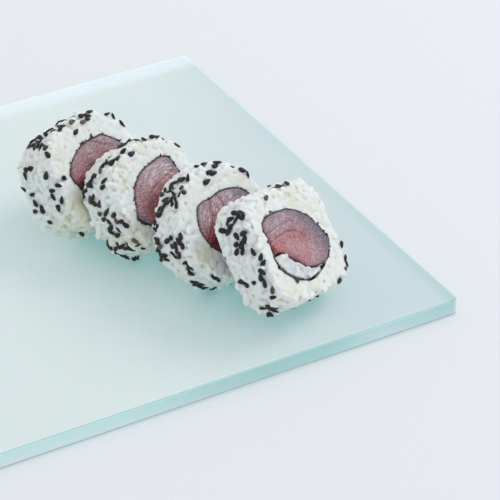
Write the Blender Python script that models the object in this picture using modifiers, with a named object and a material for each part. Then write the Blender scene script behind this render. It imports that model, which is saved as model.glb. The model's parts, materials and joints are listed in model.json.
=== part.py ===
"""Four uramaki rolls leaning one on another along a frosted glass plate.

Metres, +Z up, with the origin in the middle of the plate's underside. Each roll is a slice
of rice round a ring of nori, with raw fish inside it, and is cut flat at both ends. A roll's
own frame has its origin in the middle of the upper cut face, x to the right across that
face, y up it and z out of it, so the roll runs from z = 0 down to z = -length.
"""

import math
import random
from collections import namedtuple

import bmesh
import bpy
from mathutils import Matrix, Vector, noise
from mathutils.bvhtree import BVHTree

MM = 0.001
GAP = 0.3 * MM

PLATE_LENGTH = 300 * MM
PLATE_DEPTH = 200 * MM
PLATE_THICKNESS = 6 * MM
PLATE_CORNER = 2 * MM
PLATE_CHAMFER = 0.35 * MM

# place is the middle of the upper cut face in millimetres. heading is where that face looks
# in plan and lean is how far it looks up, both in degrees. width, height and length are in
# millimetres, squareness is the outline's exponent (2 is an ellipse) and spin turns it.
# filling gives the radius of the nori in millimetres every 30 degrees, from the right of
# the face anticlockwise.
Roll = namedtuple("Roll", "place heading lean width height squareness spin length filling")
ROLLS = {
    1: Roll(
        (62.5, 2.0, 32.2), -62.4, 37.7, 44.0, 38.9, 2.7, -2.4, 18.9,
        (15.6, 13.9, 11.6, 10.8, 11.6, 13.6, 14.1, 13.0, 11.6, 10.8, 11.6, 13.8),
    ),
    2: Roll(
        (74.7, -20.3, 30.8), -64.2, 37.6, 41.1, 37.4, 2.6, -4.2, 17.5,
        (13.1, 14.2, 11.0, 9.6, 10.3, 11.7, 14.2, 15.4, 13.0, 11.2, 11.2, 12.4),
    ),
    3: Roll(
        (85.0, -50.4, 32.0), -71.3, 38.8, 41.5, 38.6, 2.2, 43.5, 17.1,
        (14.0, 14.5, 11.2, 9.5, 11.2, 12.4, 12.5, 12.6, 12.4, 11.8, 12.0, 13.0),
    ),
    4: Roll(
        (99.6, -74.9, 33.0), -58.1, 38.4, 41.3, 39.4, 4.4, -15.5, 17.2,
        (12.9, 10.9, 10.9, 12.1, 16.3, 14.9, 16.3, 15.4, 14.7, 14.0, 14.7, 15.8),
    ),
}

# The nori is a sheet, and its cut edge stands a little proud of the rice.
NORI_THICKNESS = 0.5 * MM
NORI_PROUD = 0.3 * MM
OUTLINE_POINTS = 32  # round a whole nori ring

# Two fillings have a second piece. Its line is where it meets the first, as x and y on the
# cut face in millimetres from the upper end down, and its arc is the stretch of the nori
# that it fills, in degrees. The first piece fills the rest, less the margins at both ends.
Split = namedtuple("Split", "name kind line arc margins")
SPLITS = {
    3: Split(
        "fish_3b", "fish",
        ((-2.4, 8.4), (-3.9, 6.1), (-4.8, 3.0), (-8.4, -0.6), (-11.2, -3.0)),
        (104, 194), (10, 4),
    ),
    4: Split(
        "inner_rice_4", "rice",
        ((-14.8, 2.1), (-11.2, 1.5), (-8.5, -0.9), (-5.6, -5.1), (-3.3, -8.6), (0.8, -11.2), (5.0, -12.4)),
        (176, 292), (6, 8),
    ),
}

# The packed rice is modelled in this many steps round the roll. Its outer rims are rounded
# and its hole has a small lip, and its bumps are as wide as a grain.
RICE_STEPS = 40
RICE_RIM = 3.6 * MM
RICE_RIM_SHARE = 0.45  # the most of the wall that a rim takes
RICE_LIP = 0.6 * MM
BUMP_HEIGHT = 0.8 * MM
BUMP_SPACING = 2.6 * MM
BUMP_FADE = 1.8 * MM  # the bumps grow over this distance from the hole

# Loose grains and sesame seeds lie on the packed rice. A rise is how far a piece's middle
# stands above the rice, and a taper narrows one end of it.
GRAIN_SIZE = Vector((6.0, 2.6, 2.4)) * MM
GRAIN_TAPER = 0
GRAIN_RISE = -0.15 * MM
GRAINS_ON_WALL = 12
SEED_SIZE = Vector((3.3, 1.9, 1.0)) * MM
SEED_TAPER = 0.3
SEED_RISE = 0.1 * MM
SEEDS_ON_WALL = 27
SEEDS_ON_FACE = 3
LEFT_SIDE_SHARE = 0.6  # of the pieces on a roll's wall, as more stick to its lower left
PIECE_SPACING = 2.6 * MM
FACE_INNER_MARGIN = 3 * MM
FACE_OUTER_MARGIN = 2 * MM
AIM_HEIGHT = 10 * MM
CLEAR_OF_NEIGHBOUR = 1.1 * MM
TRIES = 40  # places tried for each piece wanted

# Colour and roughness of each kind of piece
FINISHES = {
    "glass": ((0.62, 0.78, 0.76), 0.25),
    "rice": ((0.86, 0.86, 0.80), 0.45),
    "nori": ((0.02, 0.03, 0.02), 0.6),
    "fish": ((0.50, 0.20, 0.20), 0.25),
}


def clear_scene():
    """Remove every object of the scene that the script starts in."""
    for obj in list(bpy.data.objects):
        bpy.data.objects.remove(obj)


def finish_of(kind):
    """A material with the colour and roughness of one kind of piece."""
    material = bpy.data.materials.new(kind)
    material.use_nodes = True
    shader = material.node_tree.nodes["Principled BSDF"]
    colour, roughness = FINISHES[kind]
    shader.inputs["Base Color"].default_value = (*colour, 1.0)
    shader.inputs["Roughness"].default_value = roughness
    return material


def add_object(name, data, collection, parent=None):
    """A new object of the collection, placed in its parent's frame."""
    obj = bpy.data.objects.new(name, data)
    collection.objects.link(obj)
    obj.parent = parent
    return obj


def outer_radius(roll, angle):
    """Distance in metres from the roll's middle to the outside of its rice."""
    turned = angle - math.radians(roll.spin)
    across = abs(2 * math.cos(turned) / roll.width) ** roll.squareness
    up = abs(2 * math.sin(turned) / roll.height) ** roll.squareness
    return MM * (across + up) ** (-1 / roll.squareness)


def filling_radius(roll, angle):
    """Distance in metres from the roll's middle to its nori, on a smooth closed curve."""
    count = len(roll.filling)
    whole, part = divmod(angle / math.tau * count, 1)
    before, start, end, after = (roll.filling[(int(whole) + k) % count] for k in (-1, 0, 1, 2))
    cubic = part * (3 * (start - end) + after - before)
    square = part * (2 * before - 5 * start + 4 * end - after + cubic)
    return MM * (start + 0.5 * part * (end - before + square))


def hole_radius(roll, angle):
    """Distance in metres from the roll's middle to the inside of its rice."""
    return filling_radius(roll, angle) + NORI_THICKNESS / 2 + GAP


def filling_arc(roll, offset, first=0, last=360):
    """Points along the nori's curve between two angles in degrees, moved out by offset."""
    steps = round(OUTLINE_POINTS * (last - first) / 360)
    count = steps if last - first == 360 else steps + 1
    points = []
    for step in range(count):
        angle = math.radians(first + (last - first) * step / steps)
        radius = filling_radius(roll, angle) + offset
        points.append((radius * math.cos(angle), radius * math.sin(angle)))
    return points


def moved_line(line, distance):
    """The points of a line on the cut face, in metres, moved to its left by distance."""
    points = [Vector(point) * MM for point in line]
    moved = []
    for index, point in enumerate(points):
        ahead = points[min(index + 1, len(points) - 1)]
        behind = points[max(index - 1, 0)]
        along = (ahead - behind).normalized()
        moved.append(point + distance * Vector((-along.y, along.x)))
    return moved


def add_slab(name, roll, outlines, proud, frame, collection, material):
    """A flat outline, holes included, drawn out along the whole length of a roll and a little past it."""
    curve = bpy.data.curves.new(name, "CURVE")
    curve.dimensions = "2D"
    curve.fill_mode = "BOTH"
    curve.extrude = roll.length * MM / 2 + proud
    curve.materials.append(material)
    for outline in outlines:
        spline = curve.splines.new("POLY")
        spline.points.add(len(outline) - 1)
        spline.use_cyclic_u = True
        for point, (x, y) in zip(spline.points, outline):
            point.co = (x, y, 0, 1)
    obj = add_object(name, curve, collection, frame)
    obj.location.z = -roll.length * MM / 2
    return obj


def add_plate(collection, material):
    """The glass plate: a slab with rounded corners and a narrow polished chamfer."""
    bm = bmesh.new()
    size = (PLATE_LENGTH, PLATE_DEPTH, PLATE_THICKNESS, 1)
    bmesh.ops.create_cube(bm, size=1, matrix=Matrix.Diagonal(size))
    upright = [e for e in bm.edges if abs(e.verts[0].co.z - e.verts[1].co.z) > PLATE_THICKNESS / 2]
    bmesh.ops.bevel(bm, geom=upright, offset=PLATE_CORNER, segments=5, profile=0.5, affect="EDGES")
    mesh = bpy.data.meshes.new("plate")
    bm.to_mesh(mesh)
    bm.free()
    mesh.materials.append(material)
    plate = add_object("plate", mesh, collection)
    plate.location.z = PLATE_THICKNESS / 2
    chamfer = plate.modifiers.new("chamfer", "BEVEL")
    chamfer.width = PLATE_CHAMFER
    chamfer.segments = 1
    chamfer.limit_method = "ANGLE"
    chamfer.angle_limit = math.radians(60)


def roll_frame(number, roll, collection):
    """The empty that carries a roll: its z axis looks out of the upper cut face."""
    frame = add_object(f"roll_{number}", None, collection)
    frame.location = Vector(roll.place) * MM
    frame.rotation_euler = (math.radians(90 - roll.lean), 0, math.radians(roll.heading + 90))
    return frame


def rice_section(wall, length):
    """One section of the rice, as (distance out from the hole, distance along the roll)."""
    rim = min(RICE_RIM, RICE_RIM_SHARE * wall)
    corner = rim * (1 - math.sqrt(0.5))
    side = length - 2 * rim
    middle = (wall - rim + RICE_LIP) / 2
    upper = [
        (wall, -rim - side / 3),
        (wall, -rim),
        (wall - corner, -corner),
        (wall - rim, 0),
        (middle, 0),
        (RICE_LIP, 0),
        (0, -RICE_LIP),
    ]
    lower = [(out, -length - along) for out, along in reversed(upper)]
    return upper + lower


def is_clear(point, number, frames):
    """True if a world point stands clear of the plate and of every other roll."""
    if point.z < PLATE_THICKNESS + GAP:
        return False
    for other, roll in ROLLS.items():
        if other == number:
            continue
        local = frames[other].matrix_world.inverted() @ point
        reach = outer_radius(roll, math.atan2(local.y, local.x)) + CLEAR_OF_NEIGHBOUR
        beside = math.hypot(local.x, local.y) > reach
        above = local.z > CLEAR_OF_NEIGHBOUR
        below = local.z < -roll.length * MM - CLEAR_OF_NEIGHBOUR
        if not (beside or above or below):
            return False
    return True


def rice_core(number, roll, frame):
    """The packed rice: a torus pressed to the roll's section, lumpy and flat underneath."""
    section_points = len(rice_section(RICE_RIM, roll.length * MM))
    bpy.ops.mesh.primitive_torus_add(major_segments=RICE_STEPS, minor_segments=section_points)
    torus = bpy.context.active_object
    bm = bmesh.new()
    bm.from_mesh(torus.data)
    bm.verts.ensure_lookup_table()
    for step in range(RICE_STEPS):
        angle = math.tau * step / RICE_STEPS
        hole = hole_radius(roll, angle)
        section = rice_section(outer_radius(roll, angle) - hole, roll.length * MM)
        for index, (out, along) in enumerate(section):
            reach = hole + out
            vert = bm.verts[step * section_points + index]
            vert.co = (reach * math.cos(angle), reach * math.sin(angle), along)
    bm.normal_update()
    for vert in bm.verts:
        angle = math.atan2(vert.co.y, vert.co.x)
        from_hole = vert.co.xy.length - hole_radius(roll, angle)
        if from_hole > RICE_LIP / 2:
            place = vert.co / BUMP_SPACING + Vector((0, 0, 7 * number))
            share = min(1, from_hole / BUMP_FADE)
            vert.co += vert.normal * BUMP_HEIGHT * share * noise.noise(place)
    resting_height = PLATE_THICKNESS + GAP
    for vert in bm.verts:
        world = frame.matrix_world @ vert.co
        world.z = max(world.z, resting_height)
        vert.co = frame.matrix_world.inverted() @ world
    bmesh.ops.recalc_face_normals(bm, faces=bm.faces)
    bmesh.ops.triangulate(bm, faces=bm.faces)
    mesh = bpy.data.meshes.new(f"rice_{number}")
    bm.to_mesh(mesh)
    bm.free()
    bpy.data.objects.remove(torus)
    return mesh


def piece_mesh(size, taper):
    """A grain or seed lying along x: a ball of a few faces, drawn out and tapered."""
    bm = bmesh.new()
    bmesh.ops.create_icosphere(bm, subdivisions=1, radius=0.5)
    for vert in bm.verts:
        narrow = 1 - 2 * taper * vert.co.x
        vert.co = (size.x * vert.co.x, size.y * narrow * vert.co.y, size.z * narrow * vert.co.z)
    mesh = bpy.data.meshes.new("piece")
    bm.to_mesh(mesh)
    bm.free()
    return mesh


def lying_matrix(point, normal, turn, rise):
    """The place of a piece that lies on a surface with its long side turned by an angle."""
    rotation = normal.to_track_quat("Z", "X").to_matrix().to_4x4()
    return Matrix.Translation(point + normal * rise) @ rotation @ Matrix.Rotation(turn, 4, "Z")


def aim_at_wall(roll, draw):
    """A ray from outside at the rice's side, drawn more often at its left."""
    left = draw.random() < LEFT_SIDE_SHARE
    angle = math.pi / 2 + draw.uniform(0, math.pi) * (1 if left else -1)
    along = draw.uniform(-0.93, -0.03) * roll.length * MM
    outward = Vector((math.cos(angle), math.sin(angle), 0))
    start = outward * 2 * outer_radius(roll, angle)
    start.z = along
    return start, -outward


def aim_at_face(roll, draw):
    """A ray from above at the rice of the upper cut face."""
    angle = draw.uniform(0, math.tau)
    inner = filling_radius(roll, angle) + FACE_INNER_MARGIN
    outer = outer_radius(roll, angle) - FACE_OUTER_MARGIN
    reach = draw.uniform(inner, max(inner, outer))
    start = Vector((reach * math.cos(angle), reach * math.sin(angle), AIM_HEIGHT))
    return start, Vector((0, 0, -1))


def scatter(number, roll, frames, core, aim, mesh, rise, wanted, taken, draw, loose):
    """Lay copies of a piece on the rice where they keep clear of all round them."""
    surface = BVHTree.FromPolygons([v.co for v in core.vertices], [p.vertices for p in core.polygons])
    frame = frames[number]
    placed = 0
    for _ in range(wanted * TRIES):
        start, direction = aim(roll, draw)
        turn = draw.uniform(0, math.tau)
        point, normal, _, _ = surface.ray_cast(start, direction)
        if placed == wanted or point is None:
            continue
        if any((point - other).length < PIECE_SPACING for other in taken):
            continue
        place = lying_matrix(point, normal, turn, rise)
        world = frame.matrix_world @ place
        if not all(is_clear(world @ vert.co, number, frames) for vert in mesh.vertices):
            continue
        taken.append(point)
        piece = add_object(f"piece_{number}", mesh, loose, frame)
        piece.matrix_local = place
        placed += 1


def fuse(rice, loose):
    """Join the loose pieces to the rice and drop whatever that leaves apart from it."""
    union = rice.modifiers.new("union", "BOOLEAN")
    union.operation = "UNION"
    union.operand_type = "COLLECTION"
    union.collection = loose
    union.solver = "EXACT"
    graph = bpy.context.evaluated_depsgraph_get()
    mesh = bpy.data.meshes.new_from_object(rice.evaluated_get(graph))
    rice.modifiers.clear()
    rice.data = mesh
    for piece in list(loose.objects):
        bpy.data.objects.remove(piece)
    bpy.data.collections.remove(loose)
    bm = bmesh.new()
    bm.from_mesh(mesh)
    keep_largest_shell(bm)
    bmesh.ops.triangulate(bm, faces=bm.faces)
    bm.to_mesh(mesh)
    bm.free()


def keep_largest_shell(bm):
    """Delete every closed surface but the largest, which fills hollows and drops scraps."""
    unseen = set(bm.verts)
    shells = []
    while unseen:
        shell = {unseen.pop()}
        edge_of_shell = list(shell)
        while edge_of_shell:
            vert = edge_of_shell.pop()
            for link in vert.link_edges:
                other = link.other_vert(vert)
                if other in unseen:
                    unseen.remove(other)
                    shell.add(other)
                    edge_of_shell.append(other)
        shells.append(shell)
    shells.sort(key=len)
    spare = [vert for shell in shells[:-1] for vert in shell]
    bmesh.ops.delete(bm, geom=spare, context="VERTS")


def add_rice(number, roll, frames, collection, material):
    """The rice of one roll with its loose grains and sesame seeds fused on."""
    core = rice_core(number, roll, frames[number])
    core.materials.append(material)
    rice = add_object(f"rice_{number}", core, collection, frames[number])
    loose = bpy.data.collections.new(f"loose_{number}")
    bpy.context.scene.collection.children.link(loose)
    grain = piece_mesh(GRAIN_SIZE, GRAIN_TAPER)
    seed = piece_mesh(SEED_SIZE, SEED_TAPER)
    draw = random.Random(number)
    taken = []
    for aim, mesh, rise, wanted in (
        (aim_at_wall, seed, SEED_RISE, SEEDS_ON_WALL),
        (aim_at_face, seed, SEED_RISE, SEEDS_ON_FACE),
        (aim_at_wall, grain, GRAIN_RISE, GRAINS_ON_WALL),
    ):
        scatter(number, roll, frames, core, aim, mesh, rise, wanted, taken, draw, loose)
    bpy.context.view_layer.update()
    fuse(rice, loose)


def add_filling(number, roll, frame, collection, finishes):
    """The nori ring and what it holds, each running right through the roll."""
    outside = filling_arc(roll, NORI_THICKNESS / 2)
    inside = filling_arc(roll, -NORI_THICKNESS / 2)
    add_slab(f"nori_{number}", roll, [outside, inside], NORI_PROUD, frame, collection, finishes["nori"])
    inset = -NORI_THICKNESS / 2 - GAP
    outline = filling_arc(roll, inset)
    if number in SPLITS:
        split = SPLITS[number]
        first, last = split.arc
        before, after = split.margins
        outline = filling_arc(roll, inset, last + after, first + 360 - before)
        outline += moved_line(split.line, GAP / 2)
        second = filling_arc(roll, inset, first, last) + moved_line(split.line, -GAP / 2)[::-1]
        add_slab(split.name, roll, [second], 0, frame, collection, finishes[split.kind])
    add_slab(f"fish_{number}", roll, [outline], 0, frame, collection, finishes["fish"])


def main():
    clear_scene()
    rolls = bpy.data.collections.new("uramaki_rolls")
    bpy.context.scene.collection.children.link(rolls)
    finishes = {kind: finish_of(kind) for kind in FINISHES}
    add_plate(rolls, finishes["glass"])
    frames = {number: roll_frame(number, roll, rolls) for number, roll in ROLLS.items()}
    bpy.context.view_layer.update()
    for number, roll in ROLLS.items():
        add_filling(number, roll, frames[number], rolls, finishes)
        add_rice(number, roll, frames, rolls, finishes["rice"])


main()
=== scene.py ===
"""The looks of four uramaki rolls on a frosted glass plate.

Metres, +Z up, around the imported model. A roll's own frame has its origin in the middle of
the upper cut face, x to the right across it, y up it and z out of it. Each piece is
modelled there and then carried to its place, so that its object stays at the origin.
"""

import json
import math
from collections import namedtuple

import bpy
import numpy as np
from bpy.props import FloatProperty, FloatVectorProperty, IntProperty, PointerProperty
from mathutils import Euler, Matrix, Vector, noise
from mathutils.bvhtree import BVHTree
from mathutils.kdtree import KDTree

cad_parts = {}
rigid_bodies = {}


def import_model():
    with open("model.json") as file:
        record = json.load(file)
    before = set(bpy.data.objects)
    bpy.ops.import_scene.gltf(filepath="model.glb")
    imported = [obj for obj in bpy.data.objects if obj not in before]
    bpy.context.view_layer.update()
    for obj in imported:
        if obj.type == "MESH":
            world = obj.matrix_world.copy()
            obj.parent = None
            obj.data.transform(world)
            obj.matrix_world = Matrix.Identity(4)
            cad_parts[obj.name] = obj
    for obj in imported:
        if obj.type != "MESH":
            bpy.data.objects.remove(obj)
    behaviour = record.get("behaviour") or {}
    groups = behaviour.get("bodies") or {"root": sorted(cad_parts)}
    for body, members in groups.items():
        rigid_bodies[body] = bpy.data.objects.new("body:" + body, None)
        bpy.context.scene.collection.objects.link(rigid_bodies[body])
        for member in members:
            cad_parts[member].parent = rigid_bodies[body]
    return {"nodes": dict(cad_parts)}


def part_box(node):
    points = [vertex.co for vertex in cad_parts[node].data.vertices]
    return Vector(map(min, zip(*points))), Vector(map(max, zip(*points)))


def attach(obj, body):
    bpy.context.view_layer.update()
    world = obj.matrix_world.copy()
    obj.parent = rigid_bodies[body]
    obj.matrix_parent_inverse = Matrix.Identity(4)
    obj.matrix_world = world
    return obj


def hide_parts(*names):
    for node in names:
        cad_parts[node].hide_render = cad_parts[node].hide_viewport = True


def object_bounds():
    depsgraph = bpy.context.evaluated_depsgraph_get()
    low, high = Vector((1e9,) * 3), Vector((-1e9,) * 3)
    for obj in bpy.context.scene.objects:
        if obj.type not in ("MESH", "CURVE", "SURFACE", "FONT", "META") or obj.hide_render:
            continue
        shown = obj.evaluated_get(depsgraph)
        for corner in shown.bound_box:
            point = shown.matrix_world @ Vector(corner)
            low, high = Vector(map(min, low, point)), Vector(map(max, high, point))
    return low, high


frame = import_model()
cad_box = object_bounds()

bl_info = {
    "name": "Uramaki rolls on a glass plate",
    "version": (1, 0, 0),
    "blender": (4, 5, 0),
    "location": "3D View > Sidebar > Uramaki",
    "description": "Models the rice, sesame, nori and fish of four rolls and finishes their plate",
    "category": "Object",
}

MM = 0.001
BODY = "root"
PLATE_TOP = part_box("plate")[1].z
HIGHEST = cad_box[1].z - 0.05 * MM

# place is the middle of the upper cut face in millimetres. heading is where that face looks
# in plan and lean is how far it looks up, both in degrees. width, height and length are in
# millimetres, squareness is the outline's exponent (2 is an ellipse) and spin turns it.
# filling gives the radius of the nori in millimetres every 15 degrees, from the right of
# the face anticlockwise.
Roll = namedtuple("Roll", "place heading lean width height squareness spin length filling")
ROLLS = {
    1: Roll(
        (62.5, 2.0, 32.2), -62.4, 37.7, 44.0, 38.9, 2.7, -2.4, 18.9,
        (15.6, 15.1, 13.6, 13.0, 11.3, 10.4, 10.3, 10.5, 11.1, 12.0, 13.5, 14.8)
        + (14.1, 13.6, 13.0, 12.3, 11.6, 11.1, 10.8, 11.0, 11.6, 12.5, 13.8, 14.9),
    ),
    2: Roll(
        (74.7, -20.3, 30.8), -64.2, 37.6, 41.1, 37.4, 2.6, -4.2, 17.5,
        (12.9, 13.4, 14.3, 13.3, 11.2, 10.0, 9.6, 9.7, 10.1, 10.4, 11.5, 12.4)
        + (13.9, 16.3, 15.2, 13.8, 12.7, 11.8, 11.2, 11.1, 11.2, 11.6, 12.3, 12.7),
    ),
    3: Roll(
        (85.0, -50.4, 32.0), -71.3, 38.8, 41.5, 38.6, 2.2, 43.5, 17.1,
        (14.4, 14.9, 13.9, 12.2, 10.9, 10.0, 9.5, 9.6, 11.0, 12.4, 12.4, 12.4)
        + (12.6, 12.5, 12.4, 12.5, 12.4, 12.1, 11.8, 11.8, 12.0, 12.4, 13.0, 13.8),
    ),
    4: Roll(
        (99.6, -74.9, 33.0), -58.1, 38.4, 41.3, 39.4, 4.4, -15.5, 17.2,
        (12.3, 11.8, 11.0, 10.8, 10.9, 11.4, 12.0, 13.5, 16.0, 17.4, 15.4, 15.5)
        + (16.2, 16.3, 15.6, 14.9, 14.8, 14.5, 14.0, 13.3, 14.4, 15.0, 15.6, 13.8),
    ),
}

# Two fillings have a second piece. Its line is where it meets the first, as x and y on the
# cut face in millimetres from the upper end down, and its arc is the stretch of the nori
# that it fills, in degrees.
Split = namedtuple("Split", "line arc")
SPLITS = {
    3: Split(((-2.4, 8.4), (-3.9, 6.1), (-4.8, 3.0), (-8.4, -0.6), (-11.2, -3.0)), (104, 194)),
    4: Split(
        ((-14.8, 2.1), (-11.2, 1.5), (-8.5, -0.9), (-5.6, -5.1), (-3.3, -8.6), (0.8, -11.2), (5.0, -12.4)),
        (176, 292),
    ),
}

# Where the rice has closed over the nori of a roll and where the nori lies folded double: the
# middle and half of the arc, in degrees
BURIED = {4: (274, 32)}
FOLDED = {1: (200, 24), 2: (200, 14), 4: (206, 34)}

# Grains that have come loose and stick out of a roll's wall: an angle in degrees and a distance
# down from the upper cut face in millimetres
LOOSE = {1: ((188, 16.5), (196, 17)), 2: ((184, 15),)}

# The mean radius of a roll's wall in millimetres
WALL_RADIUS = 20

# A drift is a line of sesame seeds on a roll's wall. Its ends are an angle in degrees and a
# distance down from the upper cut face in millimetres, or inwards over that face if below
# zero. The seeds stray from the line by up to the spread, in millimetres. In a narrow drift
# they also point along it. A row holds the angle and distance of the start, those of the end,
# the spread and the count.
Drift = namedtuple("Drift", "start end spread count")
DRIFTS = {
    number: [Drift(row[:2], row[2:4], *row[4:]) for row in rows]
    for number, rows in {
        1: (
            (9, -0.6, 44, -0.4, 0.4, 3), (56, 0, 78, 0.5, 0.6, 5), (71, 4, 78, 12, 0.7, 5),
            (84, -0.3, 108, -0.2, 0.4, 6), (110, 3, 114, 12, 1.0, 8), (116, 15, 127, 5, 1.4, 12),
            (128, 4, 141, 0.3, 0.7, 4), (146, 9, 150, 14, 1.2, 4), (156, 0.8, 190, 4, 1.6, 7),
            (157, 17, 198, 14, 2.5, 6), (222, 9, 226, 9, 0.5, 1), (236, 9, 350, 9, 6.5, 12),
        ),
        2: (
            (24, -0.5, 71, -0.4, 0.5, 5), (74, 1, 75, 17, 0.6, 9), (78, 4, 88, 10, 0.6, 4),
            (96, -0.3, 124, 0.8, 0.5, 4), (110, 3.7, 131, 6, 0.8, 4), (130, 8, 145, 16, 1.5, 7),
            (138, 4, 148, 4.5, 0.5, 2), (147, 13, 161, 8.4, 1.5, 4), (166, 9, 197, 8, 2.4, 8),
            (173, 6, 188, 1.2, 0.8, 4), (195, 16.5, 240, 15, 1.2, 9), (203, 12, 214, 8, 1.6, 5),
            (203, 3.3, 222, 4.5, 1.0, 3), (245, 9, 350, 9, 6.5, 12),
        ),
        3: (
            (26, -0.5, 48, -0.5, 0.3, 3), (58, -0.4, 93, 0.2, 0.4, 8), (106, 0.8, 112, 7, 0.7, 6),
            (113, 7, 121, 14, 1.0, 8), (118, 0.8, 138, 2.5, 1.0, 5), (122, 4.5, 136, 5, 0.6, 4),
            (128, 8, 143, 13, 1.6, 9), (146, 14, 158, 16, 1.0, 4), (164, 14, 188, 14, 1.8, 8),
            (168, 6, 190, 7, 2.4, 8), (170, 1, 183, 3, 0.8, 3), (193, 5, 212, 8, 1.0, 4),
            (218, 12.5, 252, 15.5, 1.6, 9), (219, 2, 231, 2.4, 0.6, 2), (260, 9, 355, 9, 6.0, 10),
        ),
        4: (
            (48, -0.6, 76, -0.5, 0.3, 4), (93, -0.4, 118, 3.4, 0.7, 7), (123, 1.5, 133, 12, 1.7, 10),
            (139, 4.5, 155, 8.5, 1.7, 7), (160, 1.2, 192, 5, 2.0, 6), (178, 14, 184, 12, 0.6, 3),
            (184, 9, 187, 9, 0.4, 1), (196, 2, 202, 5, 0.7, 3), (205, 9, 222, 12, 2.0, 8),
            (230, 15.5, 240, 16, 0.6, 3), (284, -0.6, 287, -0.6, 0.3, 1), (303, -0.4, 314, -1.0, 0.4, 3),
            (323, -0.5, 327, -0.5, 0.3, 1), (250, 10, 420, 10, 6.0, 14),
        ),
    }.items()
}

# Colours spread from spots. Each spot is its x and y on the cut face and its reach, all in
# millimetres, and how strong it is from 0 to 1.
#
# Each cut of fish has the middle of its muscle rings, the seams between its muscles, also as x and y in
# millimetres, and the spots of four colours. The pale spots are a painted sheen, and the red spots low on
# the face are redder flesh and painted shade there in one.
Flesh = namedtuple("Flesh", "rings seams slate mauve pale red")
FLESH = {
    "fish_1": Flesh(
        rings=(4, -48),
        seams=(((2.6, 9.8), (5.0, 7.7), (7.6, 5.4), (10.5, 3.6)),),
        slate=((11, 7.5, 3, 0.4), (14.5, 3, 3.2, 0.4), (-13.5, 5, 2.6, 0.35)),
        mauve=((-8, 7, 5.5, 0.8), (-1, 9, 4.5, 0.8), (6, 8, 5, 0.8), (12, 5, 5, 0.9)),
        pale=((9.5, 6, 3, 0.35), (0, 5.6, 3, 0.3)),
        red=((-3, 1.6, 5, 0.75), (-12.5, -2, 4.5, 0.8), (5, 1, 5, 0.6), (0, -6, 9, 0.5)),
    ),
    "fish_2": Flesh(
        rings=(-2, -52),
        seams=(((-6.5, 0.2), (-1.0, 2.0), (4.5, 2.9), (10.0, 2.6)),),
        slate=((12.8, 6.5, 3.4, 0.95), (12.8, 2.5, 2.4, 0.7), (8, 10, 2.6, 0.5)),
        mauve=((-9, 3.6, 5, 0.75), (-2, 8, 4.6, 0.85), (5, 8.8, 4.6, 0.85), (-14.5, -4.5, 4.5, 0.8)),
        pale=((2, 5.8, 4, 0.8), (7.5, 5.4, 3.4, 0.9), (-4, 4.4, 3.0, 0.5), (11, 0.4, 2, 0.8)),
        red=(
            (-5, -0.4, 4, 0.55), (2, 1.2, 3.6, 0.65), (8, 2, 3, 0.6), (-9, -4, 4, 0.4),
            (0, -7, 8, 0.5),
        ),
    ),
    "fish_3": Flesh(
        rings=(26, -26),
        seams=(
            ((-2.6, 9.4), (-4.7, 6.4), (-4.4, 4.0), (-2.6, 2.2), (0.4, 1.5)),
            ((0.6, 9.6), (1.6, 6.6), (1.4, 3.6)),
        ),
        slate=((13.6, 5.4, 4.2, 0.95), (9.5, 7.6, 3.4, 0.6)),
        mauve=((3, 8.8, 4.5, 0.8), (9, 7.5, 4.5, 0.85)),
        pale=((-1.6, 6, 3, 0.7), (4, 5, 4, 0.65), (8, 4.4, 3, 0.5)),
        red=((-1, 2.2, 2.6, 0.45), (-8.5, -5.5, 4.5, 1.0), (-4.5, -2, 3, 0.8), (0, -7, 7, 0.8)),
    ),
    "fish_3b": Flesh(
        rings=(24, -24),
        seams=(((-10.4, -2.8), (-6.0, -0.4), (-3.4, 1.0)),),
        slate=(),
        mauve=((-10, 6.5, 4.2, 0.8), (-6, 8.6, 3, 0.8), (-11.8, 0.5, 2.6, 0.5)),
        pale=((-8, 4.4, 3.4, 0.6), (-6.5, 1.8, 2.4, 0.4)),
        red=((-10.5, -2.6, 2.8, 0.5), (-5.5, 0.6, 1.8, 0.4)),
    ),
    "fish_4": Flesh(
        rings=(-6, -4.5),
        seams=(
            ((-12.6, 9.4), (-6.4, 8.7), (-1.0, 7.6), (2.6, 6.0)),
            ((-14.0, 6.2), (-8.4, 6.0), (-3.0, 4.9), (1.4, 2.4), (3.6, -1.0)),
        ),
        slate=(
            (8.8, 6, 3.6, 0.9), (11.8, 0.5, 3.6, 0.95), (13, -4.8, 4.4, 1.0), (11.5, -9.5, 3.4, 0.85),
            (3, 11, 3, 0.7), (-6, 13.6, 2.4, 0.6), (7, -12.5, 2.4, 0.5),
        ),
        mauve=(
            (-10, 11.6, 4.6, 0.85), (-3.5, 10.4, 4.6, 0.9), (3, 7.6, 4.4, 0.85), (7, 2.6, 4.2, 0.8),
            (7.5, -4.5, 4.6, 0.8), (5, -11.5, 4.2, 0.7),
        ),
        pale=(
            (-7, 9.4, 3.4, 0.4), (0, 8.2, 3.4, 0.4), (-6, 1, 3, 0.25), (2, -7, 4, 0.3),
            (-2, -1.5, 3.4, 0.25),
        ),
        red=((-14.8, 3.6, 2.6, 0.9), (-9, 3.4, 3.4, 0.25), (-1.5, 3.0, 3.0, 0.4), (2.2, -1, 2.8, 0.35)),
    ),
}

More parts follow.
